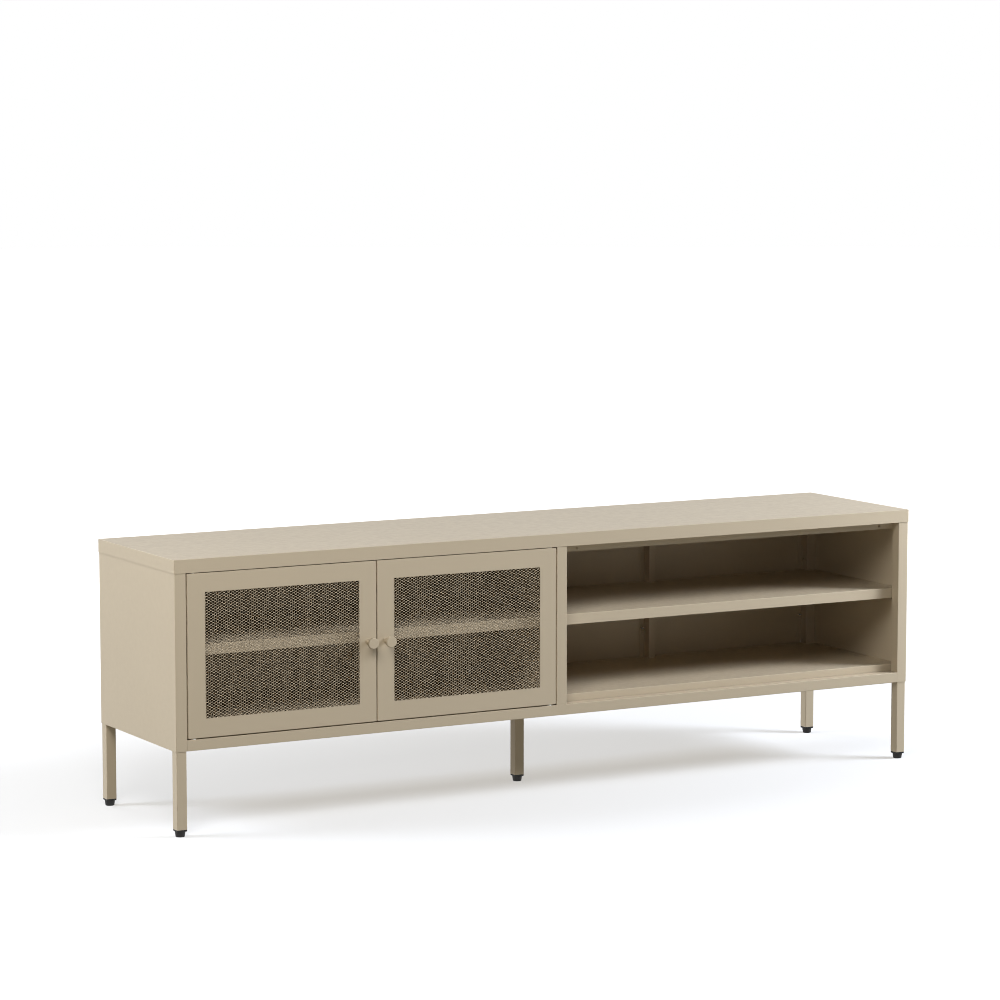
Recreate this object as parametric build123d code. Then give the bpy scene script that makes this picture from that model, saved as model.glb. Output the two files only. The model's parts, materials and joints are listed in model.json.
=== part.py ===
"""Low steel TV stand: two mesh doors over the left bay, an open right bay, shelves and five tube legs.

Millimetres, +Z up from the floor, +X along the width, front facing -Y. The origin is on the floor
under the middle of the whole outline. Depths are counted backwards from the top's front edge.
"""

import os
from collections import namedtuple

from build123d import *

os.makedirs("parts", exist_ok=True)

# Overall size
WIDTH = 1600.0
DEPTH = 350.0
HEIGHT = 505.0
KNOB_REACH = 25.0  # how far a knob stands out from its door

# Folded sheet steel
SHEET = 0.8
SKIRT = 25.0
BODY_INSET = 1.0  # the body stands this far inside the top's outline
COLUMN = 22.0  # square columns folded into the side panels and the divider
BEND = 1.0  # outside radius of a visible fold
LIP = 20.0  # turned-down edge of a shelf or floor tray
RETURN = 12.0  # flange turned inwards below a lip
NOTCH_GAP = 1.0  # round the rear columns and posts where a deck is cut out for them

# Heights above the floor
BODY_BOTTOM = 156.5
RAIL_HEIGHT = 20.0
TRAY_TOP = 191.2
SHELF_TOP = 345.4
CROSS_RAIL_WIDTH = 40.0
STOP_BOTTOM = 466.0  # lower edge of the flange that the doors close against
PIVOT_FLANGE_BOTTOM = 480.2

# Bays
REAR_POST_X = {"left": -388.0, "right": 400.0}
REAR_POST_WIDTH = 15.0
LANDING = 10.0  # flanges that the back panels are screwed to
LANDING_BOTTOM = 195.0
LANDING_TOP = 483.8

# Doors
DOOR_THICKNESS = 15.0
DOOR_BOTTOM = 178.6
DOOR_TOP = 478.4
DOOR_SIDE_GAP = 2.2
DOOR_MIDDLE_GAP = 2.0
DOOR_FRAME_WIDTH = 34.9  # from the door's edge to the mesh
DOOR_LIP = 8.0
MESH_OVERLAP = 10.0  # mesh hidden behind the frame on each side
PIVOT_FROM_EDGE = 12.0
PIVOT_BEHIND_FACE = 5.0
PIVOT_PIN_RADIUS = 2.5
PIVOT_PIN_LENGTH = 12.0
PIVOT_HEAD_RADIUS = 3.6
RUNNING_CLEARANCE = 0.05
BUSH_RADIUS = 3.6
BUSH_FLANGE_RADIUS = 4.8
BUSH_LENGTH = 12.0

# Knobs
KNOB_RADIUS = 10.25
KNOB_STEM_RADIUS = 4.8
KNOB_FLARE = 5.0  # depth over which the stem swells into the head
KNOB_HEAD = 5.5

# Legs and feet
TUBE = 20.0
TUBE_WALL = 1.2
TUBE_RADIUS = 1.6
LEG_BOTTOM = 13.6
LEG_IN_COLUMN = 60.0
PLATE = 3.0  # thickness of the middle leg's plate
PLATE_SIZE = (36.0, 60.0)
FOOT_FLANGE_BOTTOM = 10.0
PLUG_LENGTH = 24.0
GLIDE_TOP_RADIUS = 9.7
GLIDE_BOTTOM_RADIUS = 8.3
STUD_RADIUS = 4.0
STUD_TOP = 34.0

# Shelf pegs
PEG_RADIUS = 2.5
PEG_LENGTH = 16.0
PEG_IN_COLUMN = 3.0
PEG_PITCH = 45.0
REAR_PEG_DEPTH = 340.6

# Places that follow from the sizes above
BODY_X = WIDTH / 2 - BODY_INSET
INNER_X = BODY_X - COLUMN
HALF_COLUMN = COLUMN / 2
COLUMN_X = BODY_X - HALF_COLUMN
FRONT = BODY_INSET
BACK = DEPTH - BODY_INSET
COLUMN_BACK = FRONT + COLUMN  # depth of the rear faces of the front columns
REAR_COLUMN_FRONT = BACK - COLUMN
BODY_TOP = HEIGHT - SHEET
SKIRT_BOTTOM = HEIGHT - SKIRT
RAIL_TOP = BODY_BOTTOM + RAIL_HEIGHT
LEDGE_TOP = TRAY_TOP - LIP
DECK_FRONT = COLUMN_BACK + 1.6
DECK_BACK = BACK - 2.0
PEG_Z = SHELF_TOP - LIP - PEG_RADIUS
Y_FRONT = -(DEPTH - (KNOB_REACH - BODY_INSET)) / 2
LANDING_FRONT = BACK - 2 * SHEET  # back panels lie on flanges from this depth
TOP_TAB = 497.0  # upper face of the tabs that hold the top
DOOR_WIDTH = (INNER_X - HALF_COLUMN - 2 * DOOR_SIDE_GAP - DOOR_MIDDLE_GAP) / 2
DOOR_X = {
    "left": (-INNER_X + DOOR_SIDE_GAP, -INNER_X + DOOR_SIDE_GAP + DOOR_WIDTH),
    "right": (-HALF_COLUMN - DOOR_SIDE_GAP - DOOR_WIDTH, -HALF_COLUMN - DOOR_SIDE_GAP),
}
PIVOT_X = {
    "left": DOOR_X["left"][0] + PIVOT_FROM_EDGE,
    "right": DOOR_X["right"][1] - PIVOT_FROM_EDGE,
}
KNOB_X = {
    "left": DOOR_X["left"][1] - DOOR_FRAME_WIDTH / 2,
    "right": DOOR_X["right"][0] + DOOR_FRAME_WIDTH / 2,
}
DOOR_MIDDLE_Z = (DOOR_BOTTOM + DOOR_TOP) / 2
PIVOT_DEPTH = FRONT + PIVOT_BEHIND_FACE
SIDES = {"left": -1, "right": 1}
CORNER_DEPTH = {"front": FRONT + HALF_COLUMN, "rear": BACK - HALF_COLUMN}
LEGS = {
    f"{end}_{name}": (side * COLUMN_X, CORNER_DEPTH[end])
    for end in ("front", "rear")
    for name, side in SIDES.items()
}
CENTRE = (0.0, DEPTH / 2)

# Screws
ScrewSize = namedtuple("ScrewSize", "head_radius head_height shank_radius")
M4 = ScrewSize(3.8, 2.4, 2.0)
M5 = ScrewSize(4.6, 3.0, 2.5)
M6 = ScrewSize(5.4, 3.6, 3.0)
BACK_SCREW = ScrewSize(3.8, 0.9, 1.75)
SHORT_SCREW = 8.0  # shank length of the screws that join two sheets
LEG_SCREW_LENGTH = 12.0
CENTRE_SCREW_LENGTH = 11.0
WELD_NUT_RADIUS = 5.0

# Places of the screws
LEG_SCREW_Z = BODY_BOTTOM + 7
RAIL_SCREW_Z = 491.0
REAR_RAIL_SCREW_D = 340.0
CROSS_SCREW_X = 28.0
BACK_SCREW_Z = (250.0, 430.0)
TOP_SCREW_INSET = 60.0  # from the top's front and rear edges
SPARE_HOLE_FROM_COLUMN = 33.0
SPARE_HOLE_Z = 472.0


# ---------------------------------------------------------------- shared shapes


def block(x0, x1, d0, d1, z0, z1):
    """A box between two X places, two depths and two heights."""
    centre = Pos((x0 + x1) / 2, Y_FRONT + (d0 + d1) / 2, (z0 + z1) / 2)
    return centre * Box(abs(x1 - x0), abs(d1 - d0), abs(z1 - z0))


def fold(shape, axis, radius=BEND):
    """Rounds every edge of a box that runs along one axis."""
    return fillet(shape.edges().filter_by(axis), radius)


UPRIGHT = (Align.CENTER, Align.CENTER, Align.MIN)
TURNS = {
    "x": Rot(0, 90, 0),
    "-x": Rot(0, -90, 0),
    "y": Rot(-90, 0, 0),
    "-y": Rot(90, 0, 0),
    "z": Rot(0, 0, 0),
    "-z": Rot(180, 0, 0),
}


def along(side):
    """The direction away from the middle of the stand on that side."""
    return "x" if side > 0 else "-x"


def rod(x, d, z, radius, length, direction):
    """A round bar that starts at a point and runs in a direction."""
    return Pos(x, Y_FRONT + d, z) * TURNS[direction] * Cylinder(radius, length, align=UPRIGHT)


def screw(x, d, z, size, length, direction):
    """A pan-head screw with a cross recess: the shank leaves the point, and the head stays behind it."""
    head = Cylinder(size.head_radius, size.head_height, align=UPRIGHT)
    head = fillet(head.edges().sort_by(Axis.Z)[-1], size.head_height * 0.4)
    recess = size.head_height * 0.6
    arm = Box(size.head_radius * 1.1, size.head_radius * 0.22, recess)
    arm = Pos(0, 0, size.head_height - recess / 2) * arm
    head = head - arm - Rot(0, 0, 90) * arm
    head = Pos(x, Y_FRONT + d, z) * TURNS[direction] * Rot(180, 0, 0) * head
    return head + rod(x, d, z, size.shank_radius, length, direction)


def solids(shapes):
    """Several separate solids in one node."""
    return Compound(children=[solid for shape in shapes for solid in shape.solids()])


def square_tube(x, d, z0, z1):
    """A leg's tube round a vertical axis, with rounded corners."""
    outer = fold(block(x - TUBE / 2, x + TUBE / 2, d - TUBE / 2, d + TUBE / 2, z0, z1), Axis.Z, TUBE_RADIUS)
    bore = TUBE / 2 - TUBE_WALL
    inner = block(x - bore, x + bore, d - bore, d + bore, z0 - 1, z1 + 1)
    return outer - fold(inner, Axis.Z, TUBE_RADIUS - TUBE_WALL)


def column(x0, x1, d0, z0):
    """A square column folded from sheet, open at both ends."""
    outer = fold(block(x0, x1, d0, d0 + COLUMN, z0, BODY_TOP), Axis.Z)
    return outer - block(x0 + SHEET, x1 - SHEET, d0 + SHEET, d0 + COLUMN - SHEET, z0 - 1, BODY_TOP + 1)


def peg_heights():
    """The three heights at which a shelf can hang."""
    return [PEG_Z + step * PEG_PITCH for step in (-1, 0, 1)]


# ---------------------------------------------------------------- top


def top_screw_places():
    """X and depth of each screw that holds the top."""
    tab_x = BODY_X - 19
    depths = (TOP_SCREW_INSET, DEPTH / 2, DEPTH - TOP_SCREW_INSET)
    places = [(side * tab_x, d) for side in (-1, 1) for d in depths]
    return places + [(9, TOP_SCREW_INSET), (-9, DEPTH - TOP_SCREW_INSET)]


def top_panel():
    lid = block(-WIDTH / 2, WIDTH / 2, 0, DEPTH, SKIRT_BOTTOM, HEIGHT)
    lid = fillet(lid.edges().filter_by(Axis.Z) + lid.edges().group_by(Axis.Z)[-1], BEND)
    hollow_x = WIDTH / 2 - SHEET
    return lid - block(-hollow_x, hollow_x, SHEET, DEPTH - SHEET, SKIRT_BOTTOM - 1, BODY_TOP)


def top_stiffener(side):
    """A hat-section rib welded under one half of the top."""
    x0 = side * 40
    x1 = side * 750
    middle = DEPTH / 2
    low = BODY_TOP - 15
    rib = block(x0, x1, middle - 20, middle + 20, low, BODY_TOP)
    rib -= block(x0 - side, x1 + side, middle - 20 + SHEET, middle + 20 - SHEET, low + SHEET, BODY_TOP + 1)
    rib += block(x0, x1, middle - 30, middle - 20, BODY_TOP - SHEET, BODY_TOP)
    return rib + block(x0, x1, middle + 20, middle + 30, BODY_TOP - SHEET, BODY_TOP)


def top_weld_nuts():
    height = BODY_TOP - TOP_TAB
    nuts = []
    for x, d in top_screw_places():
        nut = rod(x, d, TOP_TAB, WELD_NUT_RADIUS, height, "z")
        nuts.append(nut - rod(x, d, TOP_TAB, M5.shank_radius, height, "z"))
    return solids(nuts)


def top_screws():
    return solids([screw(x, d, TOP_TAB - SHEET, M5, 7, "z") for x, d in top_screw_places()])


def tab_holes():
    return [rod(x, d, TOP_TAB - SHEET - 1, M5.shank_radius, SHEET + 2, "z") for x, d in top_screw_places()]


# ---------------------------------------------------------------- sides and divider


def landing(x0, x1):
    """An upright flange on a rear column that a back panel is screwed to."""
    return block(x0, x1, LANDING_FRONT, LANDING_FRONT + SHEET, LANDING_BOTTOM, LANDING_TOP)


def side_panel(side):
    """The outer sheet with a column folded along its front and rear edges."""
    outer = side * BODY_X
    inner = side * INNER_X
    skin = outer - side * SHEET
    x0, x1 = sorted((outer, inner))
    behind, ahead = COLUMN_BACK + 1, REAR_COLUMN_FRONT - 1
    panel = column(x0, x1, FRONT, BODY_BOTTOM) + column(x0, x1, REAR_COLUMN_FRONT, BODY_BOTTOM)
    panel += block(skin, outer, COLUMN / 2, DEPTH - COLUMN / 2, BODY_BOTTOM, BODY_TOP)
    panel += block(side * (INNER_X - 15), skin, behind, ahead, TOP_TAB - SHEET, TOP_TAB)
    panel += block(skin - side * RETURN, skin, behind, ahead, BODY_BOTTOM, BODY_BOTTOM + SHEET)
    panel += landing(inner, inner - side * LANDING)
    for z in peg_heights():
        panel -= rod(side * COLUMN_X, COLUMN_BACK - 3, z, PEG_RADIUS, 6, "y")
        panel -= rod(side * (INNER_X - 3), REAR_PEG_DEPTH, z, PEG_RADIUS, 6, along(side))
    for z in BACK_SCREW_Z:
        panel -= rod(side * (INNER_X - LANDING / 2), BACK - 6, z, BACK_SCREW.shank_radius, 8, "y")
    panel -= rod(side * COLUMN_X, COLUMN_BACK - 3, LEG_SCREW_Z, M6.shank_radius, 6, "y")
    panel -= rod(side * COLUMN_X, REAR_COLUMN_FRONT - 3, LEG_SCREW_Z, M6.shank_radius, 6, "y")
    panel -= rod(side * COLUMN_X, COLUMN_BACK - 3, RAIL_SCREW_Z, M5.shank_radius, 6, "y")
    panel -= rod(side * (INNER_X - 3), REAR_RAIL_SCREW_D, RAIL_SCREW_Z, M5.shank_radius, 6, along(side))
    for hole in tab_holes():
        panel -= hole
    return panel


def centre_divider():
    """Front and rear columns with a sheet between them, standing on the bottom rails."""
    divider = column(-HALF_COLUMN, HALF_COLUMN, FRONT, RAIL_TOP)
    divider += column(-HALF_COLUMN, HALF_COLUMN, REAR_COLUMN_FRONT, RAIL_TOP)
    divider += block(-SHEET / 2, SHEET / 2, COLUMN_BACK, REAR_COLUMN_FRONT, LEDGE_TOP, BODY_TOP)
    divider += block(-16, 16, COLUMN_BACK + 1, REAR_COLUMN_FRONT - 1, TOP_TAB - SHEET, TOP_TAB)
    for side in (-1, 1):
        face = side * (HALF_COLUMN + 3)
        divider += landing(side * HALF_COLUMN, side * (HALF_COLUMN + LANDING))
        for z in peg_heights():
            divider -= rod(side * HALF_COLUMN / 2, COLUMN_BACK - 3, z, PEG_RADIUS, 6, "y")
            divider -= rod(face, REAR_PEG_DEPTH, z, PEG_RADIUS, 6, along(-side))
        for z in BACK_SCREW_Z:
            divider -= rod(side * (HALF_COLUMN + LANDING / 2), BACK - 6, z, BACK_SCREW.shank_radius, 8, "y")
        divider -= rod(side * 6, COLUMN_BACK - 3, RAIL_SCREW_Z, M5.shank_radius, 6, "y")
        divider -= rod(face, REAR_RAIL_SCREW_D, RAIL_SCREW_Z, M5.shank_radius, 6, along(-side))
    for hole in tab_holes():
        divider -= hole
    return divider


# ---------------------------------------------------------------- rails


def pivot_places():
    """X of every pivot hole: the two that the doors use, and two spare ones in the open bay."""
    from_column = DOOR_SIDE_GAP + PIVOT_FROM_EDGE
    return [side * x for side in (-1, 1) for x in (INNER_X - from_column, HALF_COLUMN + from_column)]


def bottom_rail(front):
    """A closed rail across the whole width, with a tab on each end that its leg screws go through."""
    d0 = FRONT if front else REAR_COLUMN_FRONT
    inner = d0 + COLUMN if front else d0
    toward = 1 if front else -1
    rail = fold(block(-INNER_X, INNER_X, d0, d0 + COLUMN, BODY_BOTTOM, RAIL_TOP), Axis.X)
    low, high = BODY_BOTTOM + SHEET, RAIL_TOP - SHEET
    rail -= block(-INNER_X - 1, INNER_X + 1, d0 + SHEET, d0 + COLUMN - SHEET, low, high)
    for side in (-1, 1):
        x0, x1 = side * (INNER_X - 17), side * (INNER_X + 20)
        rail += block(x0, x1, inner, inner + toward * SHEET, BODY_BOTTOM + 1.2, LEG_SCREW_Z + 6)
        rail -= rod(side * COLUMN_X, inner - 3, LEG_SCREW_Z, M6.shank_radius, 6, "y")
        rail -= rod(side * CROSS_SCREW_X, inner - 3, LEG_SCREW_Z, M5.shank_radius, 6, "y")
    if front:
        rail += block(-INNER_X, INNER_X, inner, inner + 15, LEDGE_TOP - SHEET, LEDGE_TOP)
        for x in pivot_places():
            rail -= rod(x, PIVOT_DEPTH, RAIL_TOP - 3, PIVOT_PIN_RADIUS, 6, "z")
    else:
        for side in (-1, 1):
            x0, x1 = side * (HALF_COLUMN + 0.2), side * INNER_X
            rail += block(x0, x1, LANDING_FRONT, LANDING_FRONT + SHEET, high, RAIL_TOP + LANDING)
    return rail


def centre_cross_rail():
    """A box under the divider that ties the two bottom rails and carries the middle leg."""
    top = LEDGE_TOP - SHEET
    half = CROSS_RAIL_WIDTH / 2
    hollow = half - SHEET
    rail = block(-half, half, COLUMN_BACK, REAR_COLUMN_FRONT, BODY_BOTTOM, top)
    rail -= block(-hollow, hollow, COLUMN_BACK - 1, REAR_COLUMN_FRONT + 1, BODY_BOTTOM + SHEET, top - SHEET)
    for d0, d1 in ((COLUMN_BACK, COLUMN_BACK + SHEET), (REAR_COLUMN_FRONT - SHEET, REAR_COLUMN_FRONT)):
        for side in (-1, 1):
            rail += block(side * half, side * (half + 16), d0, d1, BODY_BOTTOM + 1, top - 1)
            rail -= rod(side * CROSS_SCREW_X, d0 - 1, LEG_SCREW_Z, M5.shank_radius, SHEET + 2, "y")
    for x, d in centre_leg_screw_places():
        rail -= rod(x, d, BODY_BOTTOM - 1, M5.shank_radius, SHEET + 2, "z")
    return rail


def top_front_rail(side):
    """Over one bay: the flange the doors close against and the shelf the upper pivots hang from."""
    x0, x1 = side * HALF_COLUMN, side * INNER_X
    lip = FRONT + 0.4
    stop = COLUMN_BACK - SHEET
    rail = block(x0, x1, stop, COLUMN_BACK, STOP_BOTTOM, BODY_TOP)
    rail += block(x0, x1, lip, stop, PIVOT_FLANGE_BOTTOM, PIVOT_FLANGE_BOTTOM + SHEET)
    rail += block(x0, x1, lip, lip + SHEET, PIVOT_FLANGE_BOTTOM, 500)
    for tab0, tab1 in ((INNER_X - 15, INNER_X + 20), (1, HALF_COLUMN + 15)):
        tab_low, tab_high = RAIL_SCREW_Z - 8, RAIL_SCREW_Z + 8
        rail += block(side * tab0, side * tab1, COLUMN_BACK, COLUMN_BACK + SHEET, tab_low, tab_high)
    rail -= rod(side * COLUMN_X, COLUMN_BACK - 1, RAIL_SCREW_Z, M5.shank_radius, 4, "y")
    rail -= rod(side * 6, COLUMN_BACK - 1, RAIL_SCREW_Z, M5.shank_radius, 4, "y")
    for x in pivot_places():
        rail -= rod(x, PIVOT_DEPTH, PIVOT_FLANGE_BOTTOM - 1, PIVOT_PIN_RADIUS, 4, "z")
    for x in (HALF_COLUMN + SPARE_HOLE_FROM_COLUMN, INNER_X - SPARE_HOLE_FROM_COLUMN):
        rail -= rod(side * x, stop - 1, SPARE_HOLE_Z, M5.shank_radius, 4, "y")
    return rail


def top_rear_rail(side):
    """An angle under the top's rear edge that the back panels close against."""
    x0, x1 = side * HALF_COLUMN, side * INNER_X
    front = 332
    low = LANDING_TOP + 0.2
    rail = block(x0, x1, LANDING_FRONT, LANDING_FRONT + SHEET, low, BODY_TOP)
    rail += block(x0, x1, front, LANDING_FRONT, BODY_TOP - SHEET, BODY_TOP)
    rail += block(x0, x0 + side * SHEET, front, LANDING_FRONT, low, BODY_TOP)
    rail += block(x1 - side * SHEET, x1, front, LANDING_FRONT, low, BODY_TOP)
    for x in (x0 - side, x1 - side * (SHEET + 1)):
        rail -= rod(x, REAR_RAIL_SCREW_D, RAIL_SCREW_Z, M5.shank_radius, SHEET + 2, along(side))
    return rail


def rail_screws():
    screws = []
    for side in (-1, 1):
        places = (
            (COLUMN_X, COLUMN_BACK + SHEET, RAIL_SCREW_Z, "-y"),
            (6, COLUMN_BACK + SHEET, RAIL_SCREW_Z, "-y"),
            (INNER_X - SHEET, REAR_RAIL_SCREW_D, RAIL_SCREW_Z, along(side)),
            (HALF_COLUMN + SHEET, REAR_RAIL_SCREW_D, RAIL_SCREW_Z, along(-side)),
            (CROSS_SCREW_X, COLUMN_BACK + SHEET, LEG_SCREW_Z, "-y"),
            (CROSS_SCREW_X, REAR_COLUMN_FRONT - SHEET, LEG_SCREW_Z, "y"),
        )
        screws += [screw(side * x, d, z, M5, SHORT_SCREW, direction) for x, d, z, direction in places]
    return solids(screws)


# ---------------------------------------------------------------- back


def back_spans():
    """The four back panels: each runs from a column to the middle of a rear post."""
    spans = []
    for name, side in SIDES.items():
        near, far = sorted((side * HALF_COLUMN, side * INNER_X))
        spans.append((near, REAR_POST_X[name]))
        spans.append((REAR_POST_X[name], far))
    return spans


def back_screw_places():
    places = []
    for side in (-1, 1):
        places += [side * (INNER_X - LANDING / 2), side * (HALF_COLUMN + LANDING / 2)]
    for x in REAR_POST_X.values():
        reach = REAR_POST_WIDTH / 2 + LANDING / 2
        places += [x - reach, x + reach]
    return [(x, z) for x in places for z in BACK_SCREW_Z]


def back_panel(x0, x1):
    panel = block(x0 + 0.2, x1 - 0.2, BACK - SHEET, BACK, RAIL_TOP + 0.3, BODY_TOP - 0.4)
    for x, z in back_screw_places():
        if x0 < x < x1:
            panel -= rod(x, BACK - 3, z, BACK_SCREW.shank_radius, 6, "y")
    return panel


def back_panel_screws():
    return solids([screw(x, BACK, z, BACK_SCREW, SHORT_SCREW, "-y") for x, z in back_screw_places()])


def rear_post(x):
    """A hat-section post that covers the seam between two back panels."""
    half = REAR_POST_WIDTH / 2
    inner = half - SHEET
    above, below = LANDING_TOP + 1, RAIL_TOP - 1
    flange_bottom = RAIL_TOP + LANDING + 0.2
    post = fold(block(x - half, x + half, REAR_COLUMN_FRONT, BACK + 5, RAIL_TOP, LANDING_TOP), Axis.Z)
    post -= block(x - inner, x + inner, REAR_COLUMN_FRONT + SHEET, BACK + 6, below, above)
    post -= block(x - half - 1, x + half + 1, LANDING_FRONT + SHEET, BACK + 6, below, above)
    for sign in (-1, 1):
        x0, x1 = x + sign * half, x + sign * (half + LANDING)
        post += block(x0, x1, LANDING_FRONT, LANDING_FRONT + SHEET, flange_bottom, LANDING_TOP)
        for z in BACK_SCREW_Z:
            post -= rod((x0 + x1) / 2, BACK - 6, z, BACK_SCREW.shank_radius, 8, "y")
    return post - block(x - half - 1, x + half + 1, LANDING_FRONT, BACK + 6, below, flange_bottom)


# ---------------------------------------------------------------- decks: floor trays and shelves


def deck(name, top, rear_bottom):
    """A folded tray between the divider and a side, notched round the rear columns and the rear post."""
    side = SIDES[name]
    x0, x1 = sorted((side * (SHEET / 2 + 0.2), side * (BODY_X - SHEET - 0.2)))
    low = top - LIP
    wide_back = REAR_COLUMN_FRONT - NOTCH_GAP
    post = REAR_POST_X[name]
    gap = REAR_POST_WIDTH / 2 + NOTCH_GAP
    r0, r1 = sorted((side * (HALF_COLUMN + NOTCH_GAP), side * (INNER_X - NOTCH_GAP)))
    tray = block(x0, x1, DECK_FRONT, wide_back, low, top)
    tray -= block(x0 + SHEET, x1 - SHEET, DECK_FRONT + SHEET, wide_back + 1, low - 1, top - SHEET)
    tray += block(x0, x1, DECK_FRONT, DECK_FRONT + RETURN, low, low + SHEET)
    tray += block(r0, r1, wide_back, DECK_BACK, top - SHEET, top)
    tray += block(r0, r1, DECK_BACK - SHEET, DECK_BACK, rear_bottom, top)
    tray += block(r0, r1, DECK_BACK - RETURN, DECK_BACK, rear_bottom, rear_bottom + SHEET)
    tray -= block(post - gap, post + gap, wide_back, DECK_BACK + 1, low - 1, top + 1)
    front_fold = tray.edges().filter_by(Axis.X).group_by(Axis.Z)[-1].group_by(Axis.Y)[0]
    return fillet(front_fold, BEND)


def shelf_pegs():
    """Four pins under each shelf: behind the front columns and beside the rear columns."""
    pegs = []
    for side in (-1, 1):
        for x in (side * COLUMN_X, side * HALF_COLUMN / 2):
            pegs.append(rod(x, COLUMN_BACK - PEG_IN_COLUMN, PEG_Z, PEG_RADIUS, PEG_LENGTH, "y"))
        outer, inner = side * (INNER_X + PEG_IN_COLUMN), side * (HALF_COLUMN - PEG_IN_COLUMN)
        pegs.append(rod(outer, REAR_PEG_DEPTH, PEG_Z, PEG_RADIUS, PEG_LENGTH, along(-side)))
        pegs.append(rod(inner, REAR_PEG_DEPTH, PEG_Z, PEG_RADIUS, PEG_LENGTH, along(side)))
    return solids(pegs)


# ---------------------------------------------------------------- legs and feet


def corner_leg(x, d):
    leg = square_tube(x, d, LEG_BOTTOM, BODY_BOTTOM + LEG_IN_COLUMN)
    return leg - rod(x, d - 14, LEG_SCREW_Z, M6.shank_radius, 28, "y").intersect(inner_half(x, d))


def inner_half(x, d):
    """The half of a leg's surroundings nearer the middle of the stand, where its screw enters."""
    toward = 20 if d < DEPTH / 2 else -20
    return block(x - 20, x + 20, d, d + toward, BODY_BOTTOM - 20, BODY_BOTTOM + 40)


def centre_leg_screw_places():
    return [(x, DEPTH / 2 + d) for x in (-12, 12) for d in (-21, 21)]


def centre_leg():
    """The middle leg, welded to a plate that is screwed up into the cross rail."""
    x, d = CENTRE
    half_x, half_d = PLATE_SIZE[0] / 2, PLATE_SIZE[1] / 2
    plate = block(x - half_x, x + half_x, d - half_d, d + half_d, BODY_BOTTOM - PLATE, BODY_BOTTOM)
    plate = fold(plate, Axis.Z, 4)
    for sx, sd in centre_leg_screw_places():
        plate -= rod(sx, sd, BODY_BOTTOM - PLATE - 1, M5.shank_radius, PLATE + 2, "z")
    return plate + square_tube(x, d, LEG_BOTTOM, BODY_BOTTOM - PLATE)


def centre_leg_screws():
    low = BODY_BOTTOM - PLATE
    return solids([screw(x, d, low, M5, CENTRE_SCREW_LENGTH, "z") for x, d in centre_leg_screw_places()])


def leg_screws():
    screws = []
    for x, d in LEGS.values():
        if d < DEPTH / 2:
            screws.append(screw(x, COLUMN_BACK + SHEET, LEG_SCREW_Z, M6, LEG_SCREW_LENGTH, "-y"))
        else:
            screws.append(screw(x, REAR_COLUMN_FRONT - SHEET, LEG_SCREW_Z, M6, LEG_SCREW_LENGTH, "y"))
    return solids(screws)


def foot_insert(x, d):
    """A plastic plug in the end of a leg's tube, with a square flange below it."""
    half = TUBE / 2 - TUBE_WALL - 0.1
    flange = block(x - 9.9, x + 9.9, d - 9.9, d + 9.9, FOOT_FLANGE_BOTTOM, LEG_BOTTOM)
    flange = fillet(flange.edges().filter_by(Axis.Z), TUBE_RADIUS)
    flange = chamfer(flange.edges().group_by(Axis.Z)[0], 0.8)
    plug = block(x - half, x + half, d - half, d + half, LEG_BOTTOM, LEG_BOTTOM + PLUG_LENGTH)
    plug = fold(plug, Axis.Z, 0.6)
    return flange + plug - rod(x, d, FOOT_FLANGE_BOTTOM - 1, STUD_RADIUS + RUNNING_CLEARANCE, 40, "z")


def levelling_glide(x, d):
    """A round tapered foot and its screw in one moulding, turned in or out to level the stand."""
    foot = Pos(x, Y_FRONT + d, FOOT_FLANGE_BOTTOM / 2) * Cone(
        GLIDE_BOTTOM_RADIUS, GLIDE_TOP_RADIUS, FOOT_FLANGE_BOTTOM
    )
    foot = fillet(foot.edges().group_by(Axis.Z)[0], 1.2)
    stud = rod(x, d, FOOT_FLANGE_BOTTOM, STUD_RADIUS, STUD_TOP - FOOT_FLANGE_BOTTOM, "z")
    return foot + stud


# ---------------------------------------------------------------- doors


def door_frame(name):
    """A pan folded from one sheet, with lips round its back and a window for the mesh."""
    x0, x1 = DOOR_X[name]
    back = FRONT + DOOR_THICKNESS
    frame = block(x0, x1, FRONT, back, DOOR_BOTTOM, DOOR_TOP)
    frame = fillet(frame.edges().group_by(Axis.Y)[0] + frame.edges().filter_by(Axis.Y), BEND)
    for inset, d0, d1 in (
        (SHEET, FRONT + SHEET, back - SHEET),
        (DOOR_LIP, FRONT + SHEET, back + 1),
        (DOOR_FRAME_WIDTH, FRONT - 1, FRONT + 2),
    ):
        frame -= block(x0 + inset, x1 - inset, d0, d1, DOOR_BOTTOM + inset, DOOR_TOP - inset)
    for z in (DOOR_BOTTOM, DOOR_TOP - SHEET):
        frame -= rod(PIVOT_X[name], PIVOT_DEPTH, z - 1, BUSH_RADIUS, SHEET + 2, "z")
    return frame - rod(KNOB_X[name], FRONT - 1, DOOR_MIDDLE_Z, M4.shank_radius, SHEET + 2, "y")


def mesh_panel(name):
    """The expanded-metal panel welded behind a door's window, as the plain sheet it is cut from."""
    x0, x1 = DOOR_X[name]
    inset = DOOR_FRAME_WIDTH - MESH_OVERLAP
    near, far = FRONT + SHEET, FRONT + 2 * SHEET
    return block(x0 + inset, x1 - inset, near, far, DOOR_BOTTOM + inset, DOOR_TOP - inset)


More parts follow.
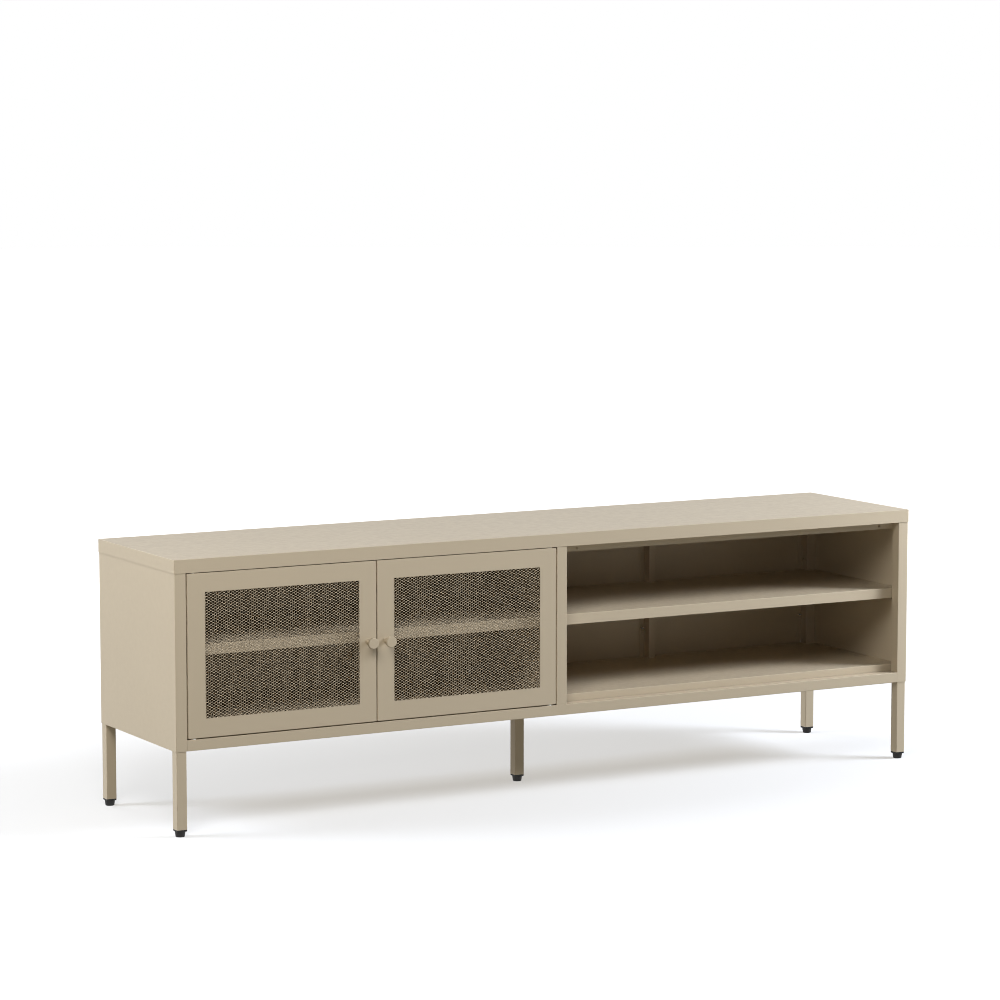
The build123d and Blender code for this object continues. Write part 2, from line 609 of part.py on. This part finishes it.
def hinge_bushes(name):
    """Two plastic bushes in a door's lower and upper edges, with flanges that keep its gaps."""
    x = PIVOT_X[name]
    lower_flange = DOOR_BOTTOM - RAIL_TOP - 0.1
    upper_flange = PIVOT_FLANGE_BOTTOM - DOOR_TOP - 0.1
    lower = rod(x, PIVOT_DEPTH, DOOR_BOTTOM, BUSH_RADIUS, BUSH_LENGTH, "z")
    lower += rod(x, PIVOT_DEPTH, DOOR_BOTTOM, BUSH_FLANGE_RADIUS, lower_flange, "-z")
    upper = rod(x, PIVOT_DEPTH, DOOR_TOP, BUSH_RADIUS, BUSH_LENGTH, "-z")
    upper += rod(x, PIVOT_DEPTH, DOOR_TOP, BUSH_FLANGE_RADIUS, upper_flange, "z")
    bore = rod(x, PIVOT_DEPTH, RAIL_TOP, PIVOT_PIN_RADIUS + RUNNING_CLEARANCE, 310, "z")
    return solids([lower - bore, upper - bore])


def hinge_pins():
    """Headed pins held in the rails: one below and one above each door."""
    pins = []
    for x in PIVOT_X.values():
        below = RAIL_TOP - SHEET
        above = PIVOT_FLANGE_BOTTOM + SHEET
        for z, head_way, pin_way in ((below, "-z", "z"), (above, "z", "-z")):
            head = rod(x, PIVOT_DEPTH, z, PIVOT_HEAD_RADIUS, 1.5, head_way)
            pins.append(head + rod(x, PIVOT_DEPTH, z, PIVOT_PIN_RADIUS, PIVOT_PIN_LENGTH, pin_way))
    return solids(pins)


def knob(name):
    """A turned knob: a slim stem that flares into a round head."""
    flare_start = KNOB_REACH - KNOB_HEAD - KNOB_FLARE
    body = Cylinder(KNOB_STEM_RADIUS, flare_start, align=UPRIGHT)
    body += Pos(0, 0, flare_start) * Cone(KNOB_STEM_RADIUS, KNOB_RADIUS - 0.4, KNOB_FLARE, align=UPRIGHT)
    head = Pos(0, 0, KNOB_REACH - KNOB_HEAD) * Cylinder(KNOB_RADIUS, KNOB_HEAD, align=UPRIGHT)
    rims = head.edges().filter_by(GeomType.CIRCLE).sort_by(Axis.Z)
    head = fillet(rims[-1], 1.5)
    body = Pos(KNOB_X[name], Y_FRONT + FRONT, DOOR_MIDDLE_Z) * Rot(90, 0, 0) * (body + head)
    return body - rod(KNOB_X[name], FRONT + 1, DOOR_MIDDLE_Z, M4.shank_radius, 13, "-y")


def knob_screw(name):
    return screw(KNOB_X[name], FRONT + SHEET, DOOR_MIDDLE_Z, M4, 11, "-y")


def door_magnets():
    """Two round magnets on the stop flange, one behind the free corner of each door."""
    stop = COLUMN_BACK - SHEET
    back = FRONT + DOOR_THICKNESS
    middle = (DOOR_X["left"][1] + DOOR_X["right"][0]) / 2
    return solids([rod(middle + x, back + 0.2, DOOR_TOP - 5, 4, stop - back - 0.2, "y") for x in (-22, 22)])


# ---------------------------------------------------------------- the assembly


def assembly():
    nodes = {"top_panel": top_panel(), "centre_divider": centre_divider()}
    for name, side in SIDES.items():
        nodes[f"top_stiffener_{name}"] = top_stiffener(side)
        nodes[f"{name}_side_panel"] = side_panel(side)
        nodes[f"top_front_rail_{name}"] = top_front_rail(side)
        nodes[f"top_rear_rail_{name}"] = top_rear_rail(side)
        nodes[f"rear_post_{name}"] = rear_post(REAR_POST_X[name])
        nodes[f"floor_tray_{name}"] = deck(name, TRAY_TOP, RAIL_TOP)
        nodes[f"shelf_{name}"] = deck(name, SHELF_TOP, SHELF_TOP - LIP)
        nodes[f"door_frame_{name}"] = door_frame(name)
        nodes[f"door_mesh_{name}"] = mesh_panel(name)
        nodes[f"hinge_bushes_{name}"] = hinge_bushes(name)
        nodes[f"door_knob_{name}"] = knob(name)
        nodes[f"knob_screw_{name}"] = knob_screw(name)
    for number, (x0, x1) in enumerate(back_spans(), 1):
        nodes[f"back_panel_{number}"] = back_panel(x0, x1)
    for name, (x, d) in {**LEGS, "centre": CENTRE}.items():
        nodes[f"leg_{name}"] = centre_leg() if name == "centre" else corner_leg(x, d)
        nodes[f"foot_insert_{name}"] = foot_insert(x, d)
        nodes[f"glide_{name}"] = levelling_glide(x, d)
    nodes["bottom_front_rail"] = bottom_rail(front=True)
    nodes["bottom_rear_rail"] = bottom_rail(front=False)
    nodes["centre_cross_rail"] = centre_cross_rail()
    nodes["shelf_pegs"] = shelf_pegs()
    nodes["hinge_pins"] = hinge_pins()
    nodes["door_magnets"] = door_magnets()
    nodes["top_weld_nuts"] = top_weld_nuts()
    nodes["top_screws"] = top_screws()
    nodes["rail_screws"] = rail_screws()
    nodes["leg_screws"] = leg_screws()
    nodes["centre_leg_screws"] = centre_leg_screws()
    nodes["back_panel_screws"] = back_panel_screws()
    return nodes


for node, shape in assembly().items():
    export_step(shape, f"parts/{node}.step")
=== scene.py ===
"""Looks of the TV stand: powder-coated steel, expanded-metal doors, plastic feet, and the studio."""

import json
import math

import bmesh
import bpy
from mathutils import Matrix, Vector

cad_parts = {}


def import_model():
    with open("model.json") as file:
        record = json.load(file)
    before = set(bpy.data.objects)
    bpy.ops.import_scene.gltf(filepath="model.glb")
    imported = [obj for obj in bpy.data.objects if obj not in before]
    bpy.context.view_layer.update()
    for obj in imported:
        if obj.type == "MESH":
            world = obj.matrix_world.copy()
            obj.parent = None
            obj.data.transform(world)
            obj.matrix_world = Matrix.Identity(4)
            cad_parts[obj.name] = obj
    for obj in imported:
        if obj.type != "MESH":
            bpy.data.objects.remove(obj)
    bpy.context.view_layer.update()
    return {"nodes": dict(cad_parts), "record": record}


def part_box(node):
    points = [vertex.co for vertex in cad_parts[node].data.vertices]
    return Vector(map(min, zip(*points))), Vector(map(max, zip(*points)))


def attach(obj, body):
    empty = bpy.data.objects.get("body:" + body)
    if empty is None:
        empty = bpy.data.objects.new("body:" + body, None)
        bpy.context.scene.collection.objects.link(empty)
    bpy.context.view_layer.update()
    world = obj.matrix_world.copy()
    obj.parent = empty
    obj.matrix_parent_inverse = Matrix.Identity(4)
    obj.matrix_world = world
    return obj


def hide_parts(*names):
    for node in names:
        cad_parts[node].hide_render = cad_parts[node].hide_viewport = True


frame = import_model()
nodes = frame["nodes"]
MM = 0.001


# ---------------------------------------------------------------- materials

NOISE_LOW, NOISE_HIGH = 0.3, 0.7  # most of a noise texture's values lie between these
COLOUR_A, COLOUR_B, COLOUR_RESULT = 6, 7, 2  # where a Mix node has its colour sockets
SCATTER = (0.002, 0.0016, 0.0012)  # red light goes further under the surface of plastic than blue


def set_inputs(node, **values):
    """Sets plain values on a node's sockets. An underscore stands for a space in a socket's name."""
    for name, value in values.items():
        node.inputs[name.replace("_", " ")].default_value = value


class Nodes:
    """A material's node tree, with short calls to add nodes and join them."""

    def __init__(self, name):
        self.material = bpy.data.materials.new(name)
        self.material.use_nodes = True
        self.tree = self.material.node_tree
        self.shader = self.tree.nodes["Principled BSDF"]
        self.coordinates = self.add("ShaderNodeTexCoord").outputs["Object"]

    def add(self, kind, **settings):
        node = self.tree.nodes.new(kind)
        for key, value in settings.items():
            setattr(node, key, value)
        return node

    def join(self, output, socket):
        self.tree.links.new(output, socket)

    def noise(self, scale, detail=2.0, roughness=0.5, stretch=None):
        """A noise texture; stretch scales the coordinates along X, Y and Z."""
        node = self.add("ShaderNodeTexNoise")
        set_inputs(node, Scale=scale, Detail=detail, Roughness=roughness)
        source = self.coordinates
        if stretch:
            mapping = self.add("ShaderNodeMapping")
            set_inputs(mapping, Scale=stretch)
            self.join(source, mapping.inputs["Vector"])
            source = mapping.outputs["Vector"]
        self.join(source, node.inputs["Vector"])
        return node.outputs["Fac"]

    def ramp(self, source, low, high):
        """Maps a noise onto low to high."""
        return self.map_range(source, NOISE_LOW, NOISE_HIGH, low, high)

    def map_range(self, source, from_low, from_high, low, high):
        node = self.add("ShaderNodeMapRange")
        set_inputs(node, From_Min=from_low, From_Max=from_high, To_Min=low, To_Max=high)
        self.join(source, node.inputs["Value"])
        return node.outputs["Result"]

    def blend(self, factor, first, second):
        """A colour between two colours or colour outputs, by a number or another output."""
        node = self.add("ShaderNodeMix", data_type="RGBA")
        if isinstance(factor, float):
            set_inputs(node, Factor=factor)
        else:
            self.join(factor, node.inputs["Factor"])
        for socket, colour in ((COLOUR_A, first), (COLOUR_B, second)):
            if isinstance(colour, tuple):
                node.inputs[socket].default_value = (*colour, 1.0)
            else:
                self.join(colour, node.inputs[socket])
        return node.outputs[COLOUR_RESULT]

    def bump(self, height, strength, distance, below=None):
        """A bumped normal, on top of the one below; the distance is in metres."""
        node = self.add("ShaderNodeBump")
        set_inputs(node, Strength=strength, Distance=distance)
        self.join(height, node.inputs["Height"])
        if below:
            self.join(below, node.inputs["Normal"])
        return node.outputs["Normal"]


def powder_coat(name, pale, deep, rough):
    """Baked powder paint: a fine grain, a faint orange peel and very slight clouding of the colour."""
    m = Nodes(name)
    set_inputs(m.shader, Specular_IOR_Level=0.62)
    clouds = m.ramp(m.noise(3.2, 3.0), 0.0, 1.0)
    grain = m.noise(1500.0, 2.0, 0.6)
    specks = m.ramp(m.noise(2600.0, 1.0), 0.0, 1.0)
    colour = m.blend(clouds, pale, deep)
    shade = m.blend(specks, tuple(c * 0.97 for c in pale), tuple(c * 1.03 for c in pale))
    m.join(m.blend(0.35, colour, shade), m.shader.inputs["Base Color"])
    m.join(m.ramp(m.noise(90.0, 3.0), rough - 0.05, rough + 0.05), m.shader.inputs["Roughness"])
    peel = m.bump(m.noise(260.0, 1.0), 0.12, 0.0002)
    m.join(m.bump(grain, 0.22, 0.00012, peel), m.shader.inputs["Normal"])
    return m.material


def moulded_plastic(name, pale, deep, rough, through=0.0):
    """Moulded plastic with a spark-eroded grain and scuffs; through is the share of light let in."""
    m = Nodes(name)
    set_inputs(m.shader, Subsurface_Weight=through, Subsurface_Radius=SCATTER)
    m.join(m.blend(m.ramp(m.noise(60.0, 4.0), 0.0, 1.0), pale, deep), m.shader.inputs["Base Color"])
    m.join(m.ramp(m.noise(220.0, 3.0), rough - 0.09, rough + 0.09), m.shader.inputs["Roughness"])
    m.join(m.bump(m.noise(1900.0, 2.0), 0.3, 0.00012), m.shader.inputs["Normal"])
    return m.material


def plated_steel(name, pale, deep, rough, brushed):
    """Bright plated steel: fine drawing lines along one direction and cloudy plating."""
    m = Nodes(name)
    set_inputs(m.shader, Metallic=1.0)
    m.join(m.blend(m.ramp(m.noise(120.0, 3.0), 0.0, 1.0), pale, deep), m.shader.inputs["Base Color"])
    lines = m.noise(700.0, 2.0, 0.6, stretch=brushed)
    m.join(m.ramp(lines, rough - 0.08, rough + 0.1), m.shader.inputs["Roughness"])
    m.join(m.bump(lines, 0.15, 0.00006), m.shader.inputs["Normal"])
    return m.material


COAT = powder_coat("powder_coat_beige", (0.535, 0.440, 0.308), (0.515, 0.422, 0.294), 0.38)
MESH_COAT = powder_coat("powder_coat_mesh", (0.530, 0.436, 0.305), (0.505, 0.414, 0.288), 0.42)
BLACK = moulded_plastic("black_plastic", (0.016, 0.016, 0.016), (0.026, 0.025, 0.024), 0.45)
NYLON = moulded_plastic("natural_nylon", (0.78, 0.74, 0.65), (0.70, 0.66, 0.57), 0.42, 0.3)
ZINC = plated_steel("zinc_plated_steel", (0.66, 0.66, 0.64), (0.58, 0.58, 0.58), 0.32, (1.0, 1.0, 0.15))
NICKEL = plated_steel("nickel_plate", (0.70, 0.67, 0.62), (0.62, 0.60, 0.56), 0.22, (1.0, 0.2, 1.0))
FINISH = {
    "frame_beige": COAT,
    "black_plastic": BLACK,
    "white_nylon": NYLON,
    "zinc_steel": ZINC,
    "magnet_nickel": NICKEL,
}

for part in frame["record"]["subparts"]:
    data = nodes[part["node"]].data
    data.materials.clear()
    data.materials.append(FINISH[part["material_slot"]])


# ---------------------------------------------------------------- expanded-metal panels

CELL_WIDTH = 8.641 * MM
CELL_HEIGHT = 5.069 * MM
HOLE_HALF_WIDTH = 2.64 * MM
HOLE_HALF_HEIGHT = 2.09 * MM
HOLE_HALF_FLAT = 1.45 * MM
STRAND_BEVEL = 0.08 * MM
STRAND_THICKNESS = 0.45 * MM
STRAND_TILT = 0.42 * MM  # how much further back a strand's upper edge lies than its lower edge
PANEL_INSET = 0.02 * MM  # how far a panel's front lies behind the front of its box


def expanded_metal(name, width, height):
    """A sheet of slit and stretched metal, centred in X and Z, with its front at Y = 0, facing -Y.

    Each hole is a flat-topped hexagon. The strands lean back at their upper edges, and their front
    arrises are bevelled. Neighbouring cells share the points between them, so the sheet is closed.
    """
    w, h = CELL_WIDTH, CELL_HEIGHT
    side = (w * w + h * h) / (4 * w)  # the cell's corner to the left and right of its hole
    flat = (w * w - h * h) / (4 * w)  # half the length of the cell's upper and lower border
    rim = ((flat, h / 2), (side, 0), (flat, -h / 2), (-flat, -h / 2), (-side, 0), (-flat, h / 2))
    a, b, c = HOLE_HALF_WIDTH, HOLE_HALF_HEIGHT, HOLE_HALF_FLAT
    hole = ((c, b), (a, 0), (c, -b), (-c, -b), (-a, 0), (-c, b))
    grow = 1 + STRAND_BEVEL / b
    columns = int(width / w) + 1  # half cells, from the middle to the edge
    rows = int(height / h) + 1
    points, faces, shared = [], [], {}

    def corner(x, z, back):
        """The index of a point on the border between cells, in the front or the back surface."""
        key = (round(x * 1e6), round(z * 1e6), back)  # whole micrometres
        if key not in shared:
            shared[key] = len(points)
            points.append((x, STRAND_TILT / 2 + back * STRAND_THICKNESS, z))
        return shared[key]

    borders = {}
    for i in range(-columns, columns + 1):
        for j in range(-rows, rows + 1):
            x0, z0 = i * w / 2, j * h / 2
            if (i + j) % 2 or abs(x0) + side > width / 2 or abs(z0) + h / 2 > height / 2:
                continue
            outer_front, outer_rear = ([corner(x0 + x, z0 + z, back) for x, z in rim] for back in (0, 1))
            start = len(points)
            for scale, back, sink in ((grow, 0, 0), (1, 0, STRAND_BEVEL), (1, 1, 0)):
                for x, z in hole:
                    lean = STRAND_TILT / 2 * (1 - z / b)
                    points.append((x0 + x * scale, lean + sink + back * STRAND_THICKNESS, z0 + z * scale))
            front, arris, rear = (list(range(start + 6 * ring, start + 6 * ring + 6)) for ring in range(3))
            across = (outer_front, front, arris, rear, outer_rear)
            for k in range(6):
                n = (k + 1) % 6
                for ring, following in zip(across, across[1:]):
                    faces.append((ring[k], ring[n], following[n], following[k]))
                edge = tuple(sorted((outer_front[k], outer_front[n])))
                rim_quad = (outer_front[k], outer_front[n], outer_rear[n], outer_rear[k])
                borders[edge] = None if edge in borders else rim_quad
    faces += [tuple(reversed(quad)) for quad in borders.values() if quad]
    data = bpy.data.meshes.new(name)
    data.from_pydata(points, [], faces)
    data.validate()
    data.update()
    data.materials.append(MESH_COAT)
    return data


def mesh_panels():
    """The lattices of both doors, in place of the plain sheets."""
    low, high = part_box("door_mesh_left")
    size = high - low
    data = expanded_metal("expanded_metal", size.x, size.z)
    panels = []
    for name in ("left", "right"):
        low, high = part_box(f"door_mesh_{name}")
        panel = bpy.data.objects.new(f"expanded_metal_{name}", data)
        bpy.context.scene.collection.objects.link(panel)
        panel.location = ((low.x + high.x) / 2, low.y + PANEL_INSET, (low.z + high.z) / 2)
        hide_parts(f"door_mesh_{name}")
        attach(panel, f"{name}_door")
        panels.append(panel)
    return panels


lattices = mesh_panels()


# ---------------------------------------------------------------- studio

SHARP_FOLD = 32  # degrees
FLOOR_HALF = 24.0  # half the floor's side
GLOW_FROM, GLOW_TO = 0.35, 3.0  # distances over which the floor's painted glow grows, from painted shade near the stand to white far off
GLOW_NEAR, GLOW_FAR = 0.45, 1.12  # its strengths there; the weak glow near the stand is painted shade round it
PAPER_COLOUR = (0.48, 0.48, 0.48, 1.0)
PAPER_GLOW_COLOUR = (1.0, 0.975, 0.93, 1.0)
BLACK_COLOUR = (0.0, 0.0, 0.0, 1.0)
WHITE_COLOUR = (1.0, 1.0, 1.0, 1.0)


def smooth_by_angle(degrees):
    """Smooth shading on the CAD pieces, with their sharp folds kept."""
    for node in nodes.values():
        node.data.shade_smooth()
        node.data.set_sharp_from_angle(angle=math.radians(degrees))


def glow(name, strength):
    """A material that gives off white light and reflects none."""
    material = bpy.data.materials.new(name)
    material.use_nodes = True
    shader = material.node_tree.nodes["Principled BSDF"]
    set_inputs(shader, Base_Color=BLACK_COLOUR, Specular_IOR_Level=0.0)
    set_inputs(shader, Emission_Color=WHITE_COLOUR, Emission_Strength=strength)
    return material


def stage_set(name, data, materials, seen_by_camera):
    """Adds a piece of the studio that lights nothing: either the camera sees it, or only gloss does."""
    for material in materials:
        data.materials.append(material)
    piece = bpy.data.objects.new(name, data)
    bpy.context.scene.collection.objects.link(piece)
    piece.visible_camera = seen_by_camera
    piece.visible_glossy = not seen_by_camera
    piece.visible_diffuse = False
    piece.visible_shadow = False


def studio_floor():
    """Pale paper that glows, more so far from the stand. The glow is painted light, and its weaker part
    near the stand is painted shade round the stand, so that only the shadows and the floor near the stand
    are grey.
    """
    data = bpy.data.meshes.new("studio_floor")
    signs = ((-1, -1), (1, -1), (1, 1), (-1, 1))
    data.from_pydata([(x * FLOOR_HALF, y * FLOOR_HALF, 0) for x, y in signs], [], [(0, 1, 2, 3)])
    paper = Nodes("studio_paper")
    squeezed = paper.add("ShaderNodeVectorMath", operation="MULTIPLY")
    squeezed.inputs[1].default_value = (0.5, 1.0, 1.0)  # the glow grows half as fast along the stand
    far = paper.add("ShaderNodeVectorMath", operation="LENGTH")
    paper.join(paper.coordinates, squeezed.inputs[0])
    paper.join(squeezed.outputs["Vector"], far.inputs[0])
    # painted shade: the glow is weaker near the stand, greying the floor where the stand's shadow falls
    strength = paper.map_range(far.outputs["Value"], GLOW_FROM, GLOW_TO, GLOW_NEAR, GLOW_FAR)
    paper.join(strength, paper.shader.inputs["Emission Strength"])
    set_inputs(paper.shader, Emission_Color=PAPER_GLOW_COLOUR, Base_Color=PAPER_COLOUR)
    set_inputs(paper.shader, Roughness=0.9, Specular_IOR_Level=0.1)
    stage_set("studio_floor", data, [paper.material], True)


def dome(name, radius, behind, ahead, below, seen_by_camera):
    """A sphere round the studio, with its own glow behind the stand, ahead of it and below the floor."""
    data = bpy.data.meshes.new(name)
    ball = bmesh.new()
    bmesh.ops.create_uvsphere(ball, u_segments=64, v_segments=32, radius=radius)
    for face in ball.faces:
        middle = face.calc_center_median()
        face.material_index = 2 if middle.z < 0 else (0 if middle.y > 0 else 1)
    ball.to_mesh(data)
    ball.free()
    strengths = {"behind": behind, "ahead": ahead, "below": below}
    glows = [glow(f"{name}_{part}", strength) for part, strength in strengths.items()]
    stage_set(name, data, glows, seen_by_camera)


WHITE = (1.0, 1.0, 1.0)
DAYLIGHT = (0.92, 1.0, 1.15)
AIM = Vector((0, 0, 0.3))  # the point that every light looks at


def soft_box(name, azimuth, elevation, distance, size, power, tint=WHITE, in_gloss=False):
    """A round light that looks at the stand. Azimuth 0 is in front of it and 90 is on its right."""
    light = bpy.data.lights.new(name, "AREA")
    light.color = tint
    light.shape = "DISK"
    light.size = size
    light.energy = power
    lamp = bpy.data.objects.new(name, light)
    bpy.context.scene.collection.objects.link(lamp)
    a, e = math.radians(azimuth), math.radians(elevation)
    away = Vector((math.sin(a) * math.cos(e), -math.cos(a) * math.cos(e), math.sin(e)))
    lamp.location = AIM + away * distance
    lamp.rotation_euler = (-away).to_track_quat("-Z", "Y").to_euler()
    lamp.visible_camera = False
    lamp.visible_glossy = in_gloss


CAMERA_PLACE = (-3.3320, -5.9338, 1.3349)
CAMERA_YAW, CAMERA_PITCH = 0.5059, 0.1145  # radians
CAMERA_LENS = 127.744  # mm, on a sensor 36 mm wide


def camera():
    """The photograph's place and angle, without the lens shift."""
    data = bpy.data.cameras.new("camera")
    data.sensor_width = 36.0
    data.lens = CAMERA_LENS
    data.clip_end = 100.0
    data.dof.use_dof = False
    view = bpy.data.objects.new("camera", data)
    bpy.context.scene.collection.objects.link(view)
    view.location = CAMERA_PLACE
    view.rotation_euler = (math.pi / 2 - CAMERA_PITCH, 0, -CAMERA_YAW)
    bpy.context.scene.camera = view


SKY_COLOUR = (1.0, 0.95, 0.77, 1.0)
HORIZON_BLUR = 0.02  # how far above and below the horizon the two strengths blend


def world(above, below):
    """Soft light from all round: one strength from above, and another bounced up from the floor."""
    sky = bpy.data.worlds.new("studio")
    bpy.context.scene.world = sky
    sky.use_nodes = True
    sky.cycles_visibility.camera = False
    sky.cycles_visibility.glossy = False
    tree = sky.node_tree
    set_inputs(tree.nodes["Background"], Color=SKY_COLOUR)
    direction = tree.nodes.new("ShaderNodeTexCoord")
    split = tree.nodes.new("ShaderNodeSeparateXYZ")
    strength = tree.nodes.new("ShaderNodeMapRange")
    set_inputs(strength, From_Min=-HORIZON_BLUR, From_Max=HORIZON_BLUR, To_Min=below, To_Max=above)
    tree.links.new(direction.outputs["Generated"], split.inputs["Vector"])
    tree.links.new(split.outputs["Z"], strength.inputs["Value"])
    tree.links.new(strength.outputs["Result"], tree.nodes["Background"].inputs["Strength"])


PIXEL_FILTER = 1.0  # pixels
LATTICE_PRESENT = 0.03  # a pixel with more than this share of strands counts as lattice
WINDOW_GAP = 3  # pixels; closes the openings between strands


def keep_lattice_crisp(lattices):
    """Denoises the picture except in the lattices, which a denoiser takes for noise and smooths away."""
    scene = bpy.context.scene
    scene.cycles.use_denoising = False
    scene.cycles.filter_width = PIXEL_FILTER
    layer = bpy.context.view_layer
    layer.use_pass_normal = True
    layer.use_pass_diffuse_color = True
    layer.use_pass_cryptomatte_object = True
    scene.use_nodes = True
    tree = scene.node_tree
    tree.nodes.clear()

    def add(kind):
        return tree.nodes.new("CompositorNode" + kind)

    layers, denoised, strands = add("RLayers"), add("Denoise"), add("CryptomatteV2")
    mixed, result = add("MixRGB"), add("Composite")
    strands.matte_id = ",".join(piece.name for piece in lattices)
    touched = add("Math")
    touched.operation = "GREATER_THAN"
    touched.inputs[1].default_value = LATTICE_PRESENT
    tree.links.new(strands.outputs["Matte"], touched.inputs[0])
    mask = touched.outputs["Value"]
    for distance in (WINDOW_GAP, -WINDOW_GAP):
        grown = add("DilateErode")
        grown.mode = "STEP"
        grown.distance = distance
        tree.links.new(mask, grown.inputs["Mask"])
        mask = grown.outputs["Mask"]
    image = layers.outputs["Image"]
    tree.links.new(image, denoised.inputs["Image"])
    tree.links.new(layers.outputs["Normal"], denoised.inputs["Normal"])
    tree.links.new(layers.outputs["DiffCol"], denoised.inputs["Albedo"])
    tree.links.new(mask, mixed.inputs["Fac"])
    tree.links.new(denoised.outputs["Image"], mixed.inputs[1])
    tree.links.new(image, mixed.inputs[2])
    tree.links.new(mixed.outputs["Image"], result.inputs["Image"])


smooth_by_angle(SHARP_FOLD)
studio_floor()
dome("backdrop", 24.0, 1.0, 1.0, 1.0, True)
dome("reflectors", 26.0, 0.6, 0.14, 0.6, False)
world(0.0, 0.29)
soft_box("side_left", -100, 10, 6.0, 2.4, 57)
soft_box("rear_left", -110, 30, 6.0, 2.4, 202, DAYLIGHT)
soft_box("behind_left", -160, 40, 6.0, 2.4, 66, in_gloss=True)
soft_box("front_left", -50, 43, 6.0, 1.6, 22, in_gloss=True)
soft_box("near_left", -45, 35, 3.0, 1.2, 34, in_gloss=True)
soft_box("near_fill", -30, 12, 2.8, 1.0, 3.4)
soft_box("key_right", 57, 30, 6.0, 2.0, 190, DAYLIGHT)
soft_box("near_right", 70, 20, 2.2, 0.7, 29, DAYLIGHT)
camera()
keep_lattice_crisp(lattices)
bpy.context.scene.view_settings.view_transform = "Standard"
